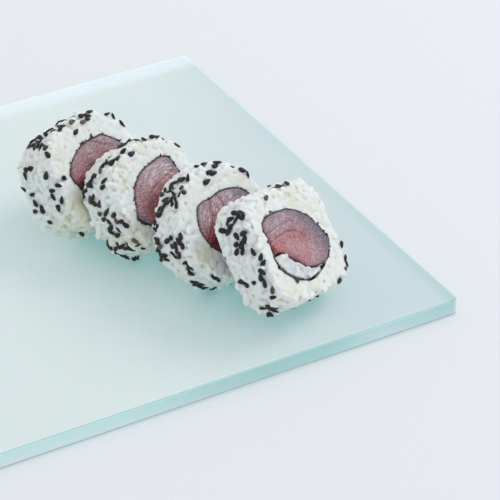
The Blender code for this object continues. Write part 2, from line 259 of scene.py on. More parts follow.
# Where vinegar and fish juice have turned the rice cream, in each roll and inside the nori. The spots low on
# the left of the rolls also stand for the greenish shade there, as painted shade.
STAINS_AND_SHADE = {
    1: ((-17, -6.5, 4.5, 0.8), (-15, 12, 4, 0.35), (-9, -15, 5, 0.5), (-18, -13, 3.4, 0.5)),
    2: ((-18, -6.5, 4, 0.6), (-12, 10, 3, 0.3), (3, 16, 3, 0.3), (-14, -14.5, 3.4, 0.45)),
    3: ((-15.5, -7, 4, 0.5), (14, 9, 3, 0.25)),
    4: ((8.5, 11, 3.6, 0.5), (13.4, 5, 3.2, 0.35), (-17, -12, 4, 0.35), (-4, -17.5, 4, 0.2)),
    "inside": ((-15, 0.6, 2.0, 0.7), (-12.5, -7.5, 1.6, 0.3)),
}


def linear(hex_colour):
    """The linear red, green and blue of an sRGB hex colour."""
    channels = [int(hex_colour[place:place + 2], 16) / 255 for place in (1, 3, 5)]
    return [c / 12.92 if c <= 0.04045 else ((c + 0.055) / 1.055) ** 2.4 for c in channels]


def size_property(name, description, millimetres):
    """A length that is shown in the sidebar."""
    return FloatProperty(
        name=name, description=description, default=millimetres * MM, min=0, precision=5,
        subtype="DISTANCE", unit="LENGTH",
    )


def colour_property(name, description, hex_colour):
    """A colour that is shown in the sidebar, kept as linear values."""
    return FloatVectorProperty(
        name=name, description=description, default=linear(hex_colour), min=0, max=1, subtype="COLOR",
    )


class RiceSettings(bpy.types.PropertyGroup):
    grain_length: size_property("Grain length", "Length of a cooked grain", 5.8)
    grain_width: size_property("Grain width", "Width of a cooked grain", 2.7)
    grain_depth: size_property("Grain depth", "Thickness of a cooked grain", 2.2)
    voxel: size_property("Fusing size", "Voxel size at which the grains stick together", 0.34)
    grains: IntProperty(name="Grains", description="Grains wanted on one roll", default=640, min=1)
    milky: colour_property("Milky", "Colour of the palest grains", "#E6EAEC")
    warm: colour_property("Warm", "Colour of the most vinegared grains", "#DEE0D5")
    inside: colour_property("Inside", "Colour of the rice inside the nori", "#CDD2D6")
    # Painted shade: the rice turns to this darker yellow-green between the grains.
    crevice_shade: colour_property("Crevice", "Colour between the grains", "#C3C8B2")
    # Partly real, partly painted: vinegar-soaked rice, and low on the rolls' left a painted shade.
    cream_and_shade: colour_property("Cream", "Colour of the rice soaked with vinegar", "#D9D3B0")


class SeedSettings(bpy.types.PropertyGroup):
    length: size_property("Seed length", "Length of a sesame seed", 3.3)
    width: size_property("Seed width", "Width of a sesame seed", 1.8)
    depth: size_property("Seed depth", "Thickness of a sesame seed", 0.95)
    black: colour_property("Black", "Colour of most seeds", "#19191B")
    brown: colour_property("Brown", "Colour of a few seeds", "#5C4838")


class NoriSettings(bpy.types.PropertyGroup):
    thickness: size_property("Thickness", "Thickness of the soaked sheet", 0.25)
    ragged: size_property("Ragged edge", "Unevenness of the cut edge", 0.65)
    fold: size_property("Fold", "How far a folded edge reaches inwards", 0.65)
    leaf: colour_property("Leaf", "Colour of the sheet", "#15181A")
    worn: colour_property("Worn leaf", "Colour of its thinnest fibres", "#2A3034")


class FishSettings(bpy.types.PropertyGroup):
    crown: size_property("Crown", "How far the cut flesh swells out of the face", 0.6)
    voxel: size_property("Fibre size", "Voxel size of the cut flesh", 0.36)
    slate: colour_property("Slate", "Colour of the side next to the skin", "#585D6E")
    mauve: colour_property("Mauve", "Colour of the outer flesh", "#8B7B84")
    # Painted sheen: the flesh's moist gleam is laid in this pale colour.
    pale: colour_property("Pale", "Colour of the moist sheen on the flesh", "#B9A5AE")
    pink: colour_property("Pink", "Colour of the middle", "#B27C84")
    # Partly painted shade: the red and deep red spots low on each face, towards the next roll, also darken
    # it where shade falls.
    red: colour_property("Red", "Colour of the redder flesh", "#9F4E4B")
    deep: colour_property("Deep red", "Colour of the reddest end", "#6E2224")
    # Painted highlight: laid as wet streaks and fine glints on the flesh; the seams use the deep red.
    line: colour_property("Sinew", "Colour of the sinews and of wet streaks", "#E6D8DE")


class PlateSettings(bpy.types.PropertyGroup):
    satin: colour_property("Satin face", "Colour of the etched faces", "#D0C1C3")
    # Painted shade: the etched faces turn to this darker colour towards the right edge.
    near: colour_property("Right side", "Colour of the faces towards the right edge", "#BDB1B8")
    # Painted glow: emission that makes the satin faces give off teal light, lifting the shade under the
    # rolls.
    carried: colour_property("Carried light", "Teal light that the sheet carries sideways", "#568D8A")
    edge: colour_property("Edge", "Colour seen into the cut edge", "#CADAD9")
    # Painted light: the arris is laid paler than its shade would show.
    arris: colour_property("Arris", "Colour of the ground arris", "#A4B8B8")


class StageSettings(bpy.types.PropertyGroup):
    table: colour_property("Table", "Colour of the table under the plate", "#E7E9ED")
    light: colour_property("Light", "Colour of the main soft light", "#FFFCF6")
    key: FloatProperty(name="Main light", description="Power of the main light", default=12.5, min=0)
    fill: FloatProperty(name="Sky", description="Strength of the even light all round", default=0.9, min=0)


GROUPS = {
    "uramaki_rice": RiceSettings,
    "uramaki_seeds": SeedSettings,
    "uramaki_nori": NoriSettings,
    "uramaki_fish": FishSettings,
    "uramaki_plate": PlateSettings,
    "uramaki_stage": StageSettings,
}


def roll_place(roll):
    """The matrix that carries a roll's own frame to its place on the plate."""
    turn = Euler((math.radians(90 - roll.lean), 0, math.radians(roll.heading + 90)))
    return Matrix.Translation(Vector(roll.place) * MM) @ turn.to_matrix().to_4x4()


def outer_radius(roll, angle):
    """Distance in metres from the roll's middle to the outside of its rice."""
    turned = angle - math.radians(roll.spin)
    across = np.abs(2 * np.cos(turned) / roll.width) ** roll.squareness
    up = np.abs(2 * np.sin(turned) / roll.height) ** roll.squareness
    return MM * (across + up) ** (-1 / roll.squareness)


def filling_radius(roll, angle):
    """Distance in metres from the roll's middle to its nori, on a smooth closed curve."""
    radii = np.array(roll.filling)
    turns = np.asarray(angle) / math.tau * len(radii)
    whole = np.floor(turns).astype(int)
    part = turns - whole
    before, start, end, after = (radii[(whole + k) % len(radii)] for k in (-1, 0, 1, 2))
    cubic = part * (3 * (start - end) + after - before)
    square = part * (2 * before - 5 * start + 4 * end - after + cubic)
    return MM * (start + 0.5 * part * (end - before + square))


def along_arc(arcs, number, angle):
    """How far, from 0 to 1, an angle lies inside a roll's arc, if it has one in a table of arcs."""
    if number not in arcs:
        return 0 * angle
    middle, half = np.radians(arcs[number])
    apart = np.abs((angle - middle + math.pi) % math.tau - math.pi)
    return np.clip(1.5 - 1.5 * apart / half, 0, 1)


def distance_to(points, line):
    """Distance of each point to an open line, across the cut face."""
    nearest = np.full(len(points), 1.0)
    for start, end in zip(line[:-1], line[1:]):
        edge = end - start
        share = ((points[:, :2] - start) @ edge / max(edge @ edge, 1e-12)).clip(0, 1)
        apart = points[:, :2] - (start + share[:, None] * edge)
        nearest = np.minimum(nearest, np.linalg.norm(apart, axis=1))
    return nearest


def colour_share(points, spots):
    """How strong a colour's spots are at each point, from 0 to 1."""
    left = np.ones(len(points))
    for x, y, reach, share in spots:
        apart = np.linalg.norm(points[:, :2] / MM - (x, y), axis=1)
        left *= 1 - share * np.exp(-(apart / reach) ** 2)
    return 1 - left


def polar(radius, angle):
    """Points at a distance from the middle of the cut face and an angle round it."""
    return np.stack([radius * np.cos(angle), radius * np.sin(angle)], axis=-1)


def filling_arc(roll, offset, first, last, spacing=0.8 * MM):
    """Points along the nori's curve between two angles in degrees, moved out by offset."""
    mean_radius = 12 * MM
    steps = max(3, round(math.radians(last - first) * mean_radius / spacing))
    angles = np.radians(np.linspace(first, last, steps + 1))
    return polar(filling_radius(roll, angles) + offset, angles)


def smooth_line(points, offset, steps=6):
    """A smooth curve through points in millimetres, moved to its left by offset in metres."""
    rough = np.array(points) * MM
    padded = np.vstack([2 * rough[0] - rough[1], rough, 2 * rough[-1] - rough[-2]])
    smooth = []
    for index in range(len(rough) - 1):
        before, start, end, after = padded[index:index + 4]
        for part in np.arange(steps) / steps:
            bend = 2 * before - 5 * start + 4 * end - after
            cubic = 3 * (start - end) + after - before
            smooth.append(start + 0.5 * part * (end - before + part * (bend + part * cubic)))
    smooth = np.array(smooth + [rough[-1]])
    along = np.gradient(smooth, axis=0)
    along /= np.linalg.norm(along, axis=1, keepdims=True)
    return smooth + offset * np.stack([-along[:, 1], along[:, 0]], axis=1)


def get_points(mesh):
    """A mesh's vertices as rows of an array."""
    points = np.empty(len(mesh.vertices) * 3, np.float32)
    mesh.vertices.foreach_get("co", points)
    return points.reshape(-1, 3).astype(float)


def set_points(mesh, points):
    """Move a mesh's vertices to the rows of an array."""
    mesh.vertices.foreach_set("co", np.asarray(points, np.float32).ravel())
    mesh.update()


def moved(points, matrix):
    """Rows of points carried by a matrix."""
    turn = np.array(matrix)
    return points @ turn[:3, :3].T + turn[:3, 3]


def paint(mesh, name, values):
    """Keep one number for each vertex under a name that a material reads."""
    attribute = mesh.attributes.new(name, "FLOAT", "POINT")
    attribute.data.foreach_set("value", np.asarray(values, np.float32))


def deselect_all():
    """Leave nothing selected, so that the next operator acts on its own piece only."""
    bpy.ops.object.select_all(action="DESELECT")


def activate(piece):
    """Make a piece the only selected one."""
    deselect_all()
    piece.select_set(True)
    bpy.context.view_layer.objects.active = piece


def apply_modifier(piece, kind, **settings):
    """Add a modifier with its settings and apply it."""
    activate(piece)
    modifier = piece.modifiers.new(kind, kind)
    for name, value in settings.items():
        setattr(modifier, name, value)
    bpy.ops.object.modifier_apply(modifier=modifier.name)


def edit_all(piece):
    """Go into edit mode with the whole piece selected."""
    activate(piece)
    bpy.ops.object.mode_set(mode="EDIT")
    bpy.ops.mesh.select_all(action="SELECT")


def leave_edit(outward=True):
    """Leave edit mode, with the whole surface facing outwards where that is asked for."""
    if outward:
        bpy.ops.mesh.select_all(action="SELECT")
        bpy.ops.mesh.normals_make_consistent(inside=False)
    bpy.ops.object.mode_set(mode="OBJECT")


def circle_on(outline, height, fill_type):
    """A circle added with one vertex for each point of an outline and pressed to it."""
    deselect_all()
    bpy.ops.mesh.primitive_circle_add(vertices=len(outline), radius=10 * MM, fill_type=fill_type)
    piece = bpy.context.active_object
    heights = np.full((len(outline), 1), height)
    set_points(piece.data, np.hstack([outline, heights]))
    return piece


def extrude_down(piece, distance):
    """Draw the whole piece out along its own z axis."""
    edit_all(piece)
    bpy.ops.mesh.extrude_region_move(TRANSFORM_OT_translate={"value": (0, 0, -distance)})
    leave_edit()


def slab(outline, top, bottom):
    """A flat outline drawn out from one height to another, with closed ends."""
    piece = circle_on(outline, top, "NGON")
    extrude_down(piece, top - bottom)
    return piece


def finish_piece(piece, name, material, nodes=(), smooth_angle=None):
    """Name a finished piece, give it its material, set its smooth shading, fix it to its body and hide the
    parts that it stands for.
    """
    piece.name = name
    piece.data.name = name
    piece.data.materials.clear()
    piece.data.materials.append(material)
    activate(piece)
    if smooth_angle is None:
        bpy.ops.object.shade_smooth()
    else:
        bpy.ops.object.shade_smooth_by_angle(angle=math.radians(smooth_angle))
    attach(piece, BODY)
    if nodes:
        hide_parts(*nodes)
    return piece


def keep_main_shell(piece):
    """Delete every closed surface except the one that reaches furthest out."""
    points = get_points(piece.data)
    furthest = int(np.argmax(np.linalg.norm(points[:, :2], axis=1)))
    activate(piece)
    bpy.ops.object.mode_set(mode="EDIT")
    bpy.ops.mesh.select_mode(type="VERT")
    bpy.ops.mesh.select_all(action="DESELECT")
    bpy.ops.object.mode_set(mode="OBJECT")
    piece.data.vertices[furthest].select = True
    bpy.ops.object.mode_set(mode="EDIT")
    bpy.ops.mesh.select_linked()
    bpy.ops.mesh.select_all(action="INVERT")
    bpy.ops.mesh.delete(type="VERT")
    bpy.ops.object.mode_set(mode="OBJECT")


def joined_copies(name, shape, places):
    """One object that holds a copy of a shape at each of the places."""
    points = get_points(shape)
    corners = np.array([loop.vertex_index for loop in shape.loops])
    starts = np.array([face.loop_start for face in shape.polygons])
    number = np.arange(len(places))[:, None]
    copies = np.concatenate([moved(points, place) for place in places])
    mesh = bpy.data.meshes.new(name)
    mesh.vertices.add(len(copies))
    mesh.loops.add(len(corners) * len(places))
    mesh.polygons.add(len(starts) * len(places))
    mesh.loops.foreach_set("vertex_index", (corners + number * len(points)).astype(np.int32).ravel())
    mesh.polygons.foreach_set("loop_start", (starts + number * len(corners)).astype(np.int32).ravel())
    set_points(mesh, copies)
    mesh.update(calc_edges=True)
    piece = bpy.data.objects.new(name, mesh)
    bpy.context.scene.collection.objects.link(piece)
    return piece


def spread_over(mesh, wanted, spacing, draw, allowed):
    """Random places on a mesh that keep their spacing, as rows of points and of normals."""
    mesh.calc_loop_triangles()
    triangles = np.array([triangle.vertices for triangle in mesh.loop_triangles])
    first, second, third = (get_points(mesh)[triangles[:, corner]] for corner in range(3))
    across = np.cross(second - first, third - first)
    area = np.linalg.norm(across, axis=1)
    chosen = draw.choice(len(area), size=wanted * 12, p=area / area.sum())
    weights = draw.random((len(chosen), 2))
    over = weights.sum(axis=1) > 1
    weights[over] = 1 - weights[over]
    points = first[chosen] + weights[:, :1] * (second - first)[chosen]
    points = points + weights[:, 1:] * (third - first)[chosen]
    normals = across[chosen] / area[chosen, None]
    kept = []
    for index in np.flatnonzero(allowed(points, normals)):
        if len(kept) == wanted:
            break
        if not kept or np.linalg.norm(points[kept] - points[index], axis=1).min() > spacing:
            kept.append(index)
    return points[kept], normals[kept]


def lying_place(point, normal, direction, tilt, size):
    """The place of a grain or seed that lies on a surface and points in a direction, along its own z."""
    up = Vector(normal)
    side = Vector(direction)
    side = (side - side.dot(up) * up).normalized()
    long_side = (side * math.cos(tilt) + up * math.sin(tilt)).normalized()
    depth_side = up - up.dot(long_side) * long_side
    if depth_side.length < 0.1:
        depth_side = long_side.orthogonal()
    depth_side.normalize()
    width_side = depth_side.cross(long_side)
    turn_matrix = Matrix((width_side, depth_side, long_side)).transposed().to_4x4()
    return Matrix.Translation(Vector(point)) @ turn_matrix @ Matrix.Scale(size, 4)


def outside_others(points, number, margin):
    """True for each point in a roll's own frame that stands clear of the plate and of the other rolls."""
    world = moved(points, roll_place(ROLLS[number]))
    clear = world[:, 2] > PLATE_TOP + margin
    for other, roll in ROLLS.items():
        if other == number:
            continue
        local = moved(world, roll_place(roll).inverted())
        reach = outer_radius(roll, np.arctan2(local[:, 1], local[:, 0]))
        beside = np.linalg.norm(local[:, :2], axis=1) > reach + margin
        beyond = (local[:, 2] > margin) | (local[:, 2] < -roll.length * MM - margin)
        clear &= beside | beyond
    return clear


def node(tree, kind, inputs=None, stops=(), **settings):
    """Add a node, set it up and fill its inputs.

    An input is a value, an output, or another node, which stands for its first live output.
    Stops are a colour ramp's places and colours, its two ends first.
    """
    made = tree.nodes.new("ShaderNode" + kind)
    for name, value in settings.items():
        setattr(made, name, value)
    for key, value in (inputs or {}).items():
        socket = made.inputs[key]
        if isinstance(value, bpy.types.Node):
            value = next(output for output in value.outputs if output.enabled)
        if isinstance(value, bpy.types.NodeSocket):
            tree.links.new(value, socket)
        else:
            socket.default_value = (*value, 1.0) if socket.type == "RGBA" else value
    for index, (place, colour) in enumerate(stops):
        elements = made.color_ramp.elements
        element = elements[index] if index < 2 else elements.new(place)
        element.position = place
        element.color = (*colour, 1.0)
    return made


# The inputs of a node that carries a value from one range to another
RANGE = ("Value", "From Min", "From Max", "To Min", "To Max")


def start_material(name):
    """An empty node material and its tree."""
    material = bpy.data.materials.new(name)
    material.use_nodes = True
    material.node_tree.nodes.clear()
    return material, material.node_tree


def finish_material(tree, inputs):
    """Add the shader with its inputs, and the output."""
    shader = node(tree, "BsdfPrincipled", inputs)
    node(tree, "OutputMaterial", {"Surface": shader})


def cooked_rice(name, milky, warm, settings):
    """Vinegared short-grain rice, steamed: milky and faintly see-through, with a wet sticky shine."""
    material, tree = start_material(name)
    tone, gap, soaked = (
        node(tree, "Attribute", attribute_name=mark).outputs["Fac"]
        for mark in ("grain_tone", "crevice_shade", "cream_and_shade")
    )
    where = node(tree, "TexCoord").outputs["Object"]
    mottle, film, skin = (
        node(tree, "TexNoise", {"Vector": where, "Scale": 1 / (size * MM), "Detail": detail})
        for size, detail in ((4, 2.0), (1.6, 3.0), (0.9, 4.0))
    )
    # The crevice share darkens the rice between the grains as painted shade.
    warmth, shade = (
        node(tree, "Math", {0: first, 1: second}, operation="MULTIPLY")
        for first, second in ((tone, mottle), (gap, 0.5))
    )
    colour = milky
    for share, layer in ((warmth, warm), (soaked, settings.cream_and_shade), (shade, settings.crevice_shade)):
        colour = node(tree, "Mix", {0: share, 6: colour, 7: layer}, data_type="RGBA")
    finish_material(tree, {
        "Base Color": colour,
        "Roughness": node(tree, "MapRange", dict(zip(RANGE, (film, 0.35, 0.65, 0.26, 0.52)))),
        "Normal": node(tree, "Bump", {"Height": skin, "Strength": 0.25, "Distance": 0.15 * MM}),
        "Subsurface Weight": 1.0,
        "Subsurface Radius": (1.2, 1.1, 0.95),
        "Subsurface Scale": MM,
        "IOR": 1.38,
    })
    return material


def toasted_sesame(settings):
    """Black sesame, toasted: a matt, finely pitted hull with a faint oily shine."""
    material, tree = start_material("toasted black sesame")
    tone = node(tree, "Attribute", attribute_name="seed_tone").outputs["Fac"]
    where = node(tree, "TexCoord").outputs["Object"]
    pits = node(tree, "TexNoise", {"Vector": where, "Scale": 1 / (0.5 * MM), "Detail": 3.0})
    few, worn = (
        node(tree, "MapRange", dict(zip(RANGE, row)))
        for row in ((tone, 0.9, 0.98, 0.0, 1.0), (pits, 0.0, 1.0, 0.6, 1.7))
    )
    hull = settings.black
    for share, layer, blend in ((few, settings.brown, "MIX"), (1.0, worn, "MULTIPLY")):
        hull = node(tree, "Mix", {0: share, 6: hull, 7: layer}, data_type="RGBA", blend_type=blend)
    finish_material(tree, {
        "Base Color": hull,
        "Roughness": 0.42,
        "Specular IOR Level": 0.35,
        "Normal": node(tree, "Bump", {"Height": pits, "Strength": 0.5, "Distance": 0.12 * MM}),
    })
    return material


def soaked_nori(settings):
    """Pressed seaweed, softened by the rice: nearly black, torn fibres and a damp shine."""
    material, tree = start_material("soaked nori")
    where = node(tree, "TexCoord").outputs["Object"]
    fibre = node(tree, "TexNoise", {"Vector": where, "Scale": 1 / (0.8 * MM), "Detail": 4.0})
    leaf = node(tree, "Mix", {0: fibre, 6: settings.leaf, 7: settings.worn}, data_type="RGBA")
    finish_material(tree, {
        "Base Color": leaf,
        "Roughness": 0.4,
        "Normal": node(tree, "Bump", {"Height": fibre, "Strength": 0.6, "Distance": 0.15 * MM}),
    })
    return material


def raw_fish(settings):
    """Raw pink fish cut across its muscle: moist and faintly see-through, grey-mauve towards the skin, with
    a painted sheen, painted wet streaks and glints.
    """
    material, tree = start_material("raw sliced fish")
    rim, seam, slate, mauve, pale, red = (
        node(tree, "Attribute", attribute_name=mark).outputs["Fac"]
        for mark in ("rim", "seam", "slate", "mauve", "pale", "red")
    )
    fibre = node(tree, "Attribute", attribute_name="fibre").outputs["Vector"]
    where = node(tree, "TexCoord").outputs["Object"]
    mottle, speckle = (
        node(tree, "TexNoise", {"Vector": where, "Scale": 1 / (size * MM), "Detail": detail})
        for size, detail in ((3.5, 3.0), (0.5, 2.0))
    )
    # Streaks lie along the fibres and veins across them, with their sizes in millimetres.
    drawn_out = []
    for across, along, detail in ((0.45, 2.6, 3.0), (5.0, 0.5, 2.0)):
        shrink = (1 / across, 1 / along, 1 / along)
        drawn = node(tree, "VectorMath", {0: fibre, 1: shrink}, operation="MULTIPLY")
        drawn_out.append(node(tree, "TexNoise", {"Vector": drawn, "Scale": 1.0, "Detail": detail}))
    streak, vein = drawn_out
    ring = node(tree, "SeparateXYZ", {"Vector": fibre}).outputs["X"]
    wander = node(tree, "Math", {0: mottle, 1: 4.0, 2: ring}, operation="MULTIPLY_ADD")
    muscle = node(tree, "Math", {0: wander}, operation="SINE")
    redder = node(tree, "Math", {0: muscle, 1: 0.04, 2: red}, operation="MULTIPLY_ADD")
    reddened = node(tree, "Math", {0: mottle, 1: 0.5, 2: redder}, operation="MULTIPLY_ADD")
    flesh = node(
        tree, "ValToRGB", {"Fac": reddened},
        stops=((0.22, settings.pink), (1.0, settings.deep), (0.7, settings.red)),
    )
    patchy, moist, painted_glints, thin, broken, speckled, streaked, veined, shaded, shine = (
        node(tree, "MapRange", dict(zip(RANGE, row))) for row in (
            (mottle, 0.3, 0.65, 0.65, 1.0),
            (streak, 0.53, 0.64, 0.0, 1.0),
            (speckle, 0.6, 0.72, 0.0, 0.45),
            (seam, 0.1, 0.4, 0.75, 0.0),
            (mottle, 0.35, 0.6, 0.35, 1.0),
            (speckle, 0.3, 0.7, 0.66, 1.3),
            (streak, 0.3, 0.7, 0.8, 1.2),
            (vein, 0.3, 0.7, 0.9, 1.1),
            (rim, 0.0, 1.1, 0.45, 1.0),
            (mottle, 0.0, 1.0, 0.16, 0.36),
        )
    )
    # The sheen and the wet streaks are painted highlights in the pale and line colours.
    outer, sheen, wet, parting = (
        node(tree, "Math", {0: first, 1: second}, operation="MULTIPLY")
        for first, second in ((patchy, mauve), (patchy, pale), (moist, pale), (thin, broken))
    )
    layers = (
        (outer, settings.mauve, "MIX"),
        (sheen, settings.pale, "MIX"),
        (slate, settings.slate, "MIX"),
        (1.0, speckled, "MULTIPLY"),
        (1.0, streaked, "MULTIPLY"),
        (1.0, veined, "MULTIPLY"),
        # Painted highlights: wet streaks and fine glints.
        (wet, settings.line, "MIX"),
        (painted_glints, settings.line, "MIX"),
        (parting, settings.deep, "MIX"),
        (1.0, shaded, "MULTIPLY"),
    )
    for share, layer, blend in layers:
        flesh = node(tree, "Mix", {0: share, 6: flesh, 7: layer}, data_type="RGBA", blend_type=blend)
    relief = node(tree, "Math", {0: speckle, 1: streak}, operation="ADD")
    finish_material(tree, {
        "Base Color": flesh,
        "Roughness": shine,
        "Normal": node(tree, "Bump", {"Height": relief, "Strength": 0.8, "Distance": 0.25 * MM}),
        "Subsurface Weight": 0.3,
        "Subsurface Radius": (1.2, 0.6, 0.5),
        "Subsurface Scale": MM,
        "IOR": 1.45,
    })
    return material


def satin_glass(settings):
    """Float glass, acid-etched on its faces and cut at its edge: a milky haze that turns teal in depth, with
    a painted glow and painted shade and gleams.
    """
    material, tree = start_material("satin float glass")
    low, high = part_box("plate")
    # How far the painted shade at the right edge, the one at the front and the painted gleam at the back
    # reach in
    right, front, back = 8 * MM, 90 * MM, (12 * MM, 5 * MM)
    normal = node(tree, "NewGeometry").outputs["True Normal"]
    upward = node(tree, "SeparateXYZ", {"Vector": normal}).outputs["Z"]
    flat = node(tree, "Math", {0: upward}, operation="ABSOLUTE")
    where = node(tree, "TexCoord").outputs["Object"]
    x, y, z = node(tree, "SeparateXYZ", {"Vector": where}).outputs
    haze, etch = (
        node(tree, "TexNoise", {"Vector": where, "Scale": 1 / (size * MM), "Detail": 3.0})
        for size in (45, 0.8)
    )
    rightward = node(tree, "VectorMath", {0: where, 1: (0.95, -0.3, 0)}, operation="DOT_PRODUCT")
    uneven = node(tree, "Math", {0: haze, 1: 60 * MM, 2: rightward}, operation="MULTIPLY_ADD")
    face, arris, depth, length, to_front, tone = (
        node(tree, "MapRange", dict(zip(RANGE, row))) for row in (
            (flat, 0.8, 0.95, 0.0, 1.0),
            (flat, 0.2, 0.5, 0.0, 1.0),
            (z, low.z, high.z, 0.0, 1.0),
            (x, low.x, high.x, 0.0, 1.0),
            (y, low.y, low.y + front, 1.0, 0.2),
            (etch, 0.0, 1.0, 0.94, 1.06),
        )
    )
    near, to_right, to_back = (
        node(tree, "MapRange", dict(zip(RANGE, row)), interpolation_type="SMOOTHSTEP") for row in (
            (uneven, 80 * MM, 190 * MM, 0.0, 1.0),
            (x, high.x - right, high.x, 0.0, 0.8),
            (y, high.y - back[0], high.y - back[1], 0.0, 0.55),
        )
    )
    corner = node(tree, "Math", {0: to_right, 1: to_front}, operation="MULTIPLY")
    # The cut edge is painted paler at its foot, a painted glow of the table seen through it.
    side = node(
        tree, "ValToRGB", {"Fac": depth},
        stops=(
            (0.0, linear("#D5DEE0")), (1.0, linear("#CFDBDB")),
            (0.1, linear("#DBE5E7")), (0.8, settings.edge),
        ),
    )
    # The rolls block the light that would come out of the front edge before them.
    blocked = node(
        tree, "ValToRGB", {"Fac": length},
        stops=(
            (0.5, (0.97, 1.0, 1.0)), (1.0, (0.71, 0.81, 0.81)), (0.58, (0.9, 0.97, 0.96)),
            (0.66, (0.76, 0.86, 0.86)), (0.74, (0.61, 0.78, 0.75)), (0.82, (0.61, 0.8, 0.79)),
            (0.89, (0.87, 0.92, 0.93)), (0.96, (0.74, 0.86, 0.86)),
        ),
    )
    # The arris is painted pale to lift its shade, and darker grey towards the right against the main light's
    # gleam: painted light and painted shade.
    ground = node(tree, "Mix", {0: to_right, 6: settings.arris, 7: linear("#8F979B")}, data_type="RGBA")
    # Painted light on the faces: shade towards the right and at the near right corner, and a pale gleam
    # along the back.
    faces = settings.satin
    layers = ((near, settings.near), (corner, linear("#9E9FA1")), (to_back, linear("#E2DBE6")))
    for share, layer in layers:
        faces = node(tree, "Mix", {0: share, 6: faces, 7: layer}, data_type="RGBA")
    colour = side
    layers = (
        (1.0, blocked, "MULTIPLY"), (arris, ground, "MIX"), (face, faces, "MIX"), (1.0, tone, "MULTIPLY"),
    )
    for share, layer, blend in layers:
        colour = node(tree, "Mix", {0: share, 6: colour, 7: layer}, data_type="RGBA", blend_type=blend)
    finish_material(tree, {
        "Base Color": colour,
        "Roughness": node(tree, "MapRange", {"Value": arris, "To Min": 0.16, "To Max": 0.5}),
        "Normal": node(tree, "Bump", {"Height": etch, "Strength": 0.05, "Distance": 0.1 * MM}),
        # A painted glow: the faces give off the carried teal and the cut edge a fainter grey-teal, though
        # the plate is no lamp.
        "Emission Color": node(
            tree, "Mix", {0: face, 6: linear("#4A6263"), 7: settings.carried}, data_type="RGBA",
        ),
        "Emission Strength": 1.0,
        "Subsurface Weight": 1.0,
        "Subsurface Radius": (1.4, 3.0, 2.8),
        "Subsurface Scale": MM,
        "IOR": 1.5,
    })
    return material


def painted_table(settings):
    """A table top in matt pale paint: even, with a faint roller grain."""
    material, tree = start_material("matt pale paint")
    where = node(tree, "TexCoord").outputs["Object"]
    grain = node(tree, "TexNoise", {"Vector": where, "Scale": 1 / (1.5 * MM), "Detail": 4.0})
    tone = node(tree, "MapRange", {"Value": grain, "To Min": 0.97, "To Max": 1.03})
    colour = node(
        tree, "Mix", {0: 1.0, 6: settings.table, 7: tone}, data_type="RGBA", blend_type="MULTIPLY",
    )
    finish_material(tree, {
        "Base Color": colour,
        "Roughness": 0.8,
        "Normal": node(tree, "Bump", {"Height": grain, "Strength": 0.2, "Distance": 0.1 * MM}),
    })
    return material


class URAMAKI_OT_stage(bpy.types.Operator):
    """Set the camera, the lights and the table"""

    bl_idname = "uramaki.stage"
    bl_label = "Stage"

    def execute(self, context):
        settings = context.scene.uramaki_stage
        self.add_camera(context)
        self.add_lights(context, settings)
        self.add_table(settings)
        context.scene.view_settings.view_transform = "Standard"
        return {"FINISHED"}

    def add_camera(self, context):
        """The view down on the plate's near right corner."""
        data = bpy.data.cameras.new("camera")
        data.sensor_width = 36
        data.lens = 185.8
        camera = bpy.data.objects.new("camera", data)
        camera.location = (-0.2811, -0.7073, 0.5188)
        camera.rotation_euler = (math.radians(56.4), 0, math.radians(-29.75))
        context.scene.collection.objects.link(camera)
        context.scene.camera = camera

    def add_lights(self, context, settings):
        """One large soft light from the right and an even pale sky."""
        data = bpy.data.lights.new("softbox", "AREA")
        data.shape = "DISK"
        data.size = 1.1
        data.energy = settings.key
        data.color = settings.light
        softbox = bpy.data.objects.new("softbox", data)
        softbox.location = (1.6, -0.05, 1.4)
        target = Vector((0.07, -0.04, 0))
        aim = target - softbox.location
        softbox.rotation_euler = aim.to_track_quat("-Z", "Y").to_euler()
        context.scene.collection.objects.link(softbox)
        world = bpy.data.worlds.new("pale studio")
        world.use_nodes = True
        sky = world.node_tree.nodes["Background"]
        sky.inputs["Color"].default_value = (*linear("#F3F6F9"), 1.0)
        sky.inputs["Strength"].default_value = settings.fill
        context.scene.world = world

    def add_table(self, settings):
        """A wide table top just under the plate, with its far edges out of sight."""
        gap, thickness = 0.05 * MM, 20 * MM
        deselect_all()
        bpy.ops.mesh.primitive_plane_add(size=6, location=(0, 0, -gap))
        table = bpy.context.active_object
        table.name = "table"
        bpy.ops.object.transform_apply(location=True)
        extrude_down(table, thickness)
        table.data.materials.append(painted_table(settings))


class URAMAKI_OT_plate(bpy.types.Operator):
    """Give the plate its satin glass"""

    bl_idname = "uramaki.plate"
    bl_label = "Plate"

    def execute(self, context):
        plate = frame["nodes"]["plate"]
        plate.material_slots[0].link = "OBJECT"
        plate.material_slots[0].material = satin_glass(context.scene.uramaki_plate)
        return {"FINISHED"}


def grain_shape(settings):
    """One cooked grain: a plump ball drawn out along z and bent a little."""
    deselect_all()
    bpy.ops.mesh.primitive_uv_sphere_add(
        segments=8, ring_count=6, radius=0.5,
        scale=(settings.grain_width, settings.grain_depth, settings.grain_length),
    )
    bpy.ops.object.transform_apply(scale=True)
    grain = bpy.context.active_object
    apply_modifier(grain, "CAST", cast_type="CYLINDER", factor=0.15, use_x=True, use_y=True, use_z=False)
    apply_modifier(
        grain, "SIMPLE_DEFORM", deform_method="BEND", deform_axis="X", angle=math.radians(28),
    )
    mesh = grain.data
    bpy.data.objects.remove(grain)
    return mesh


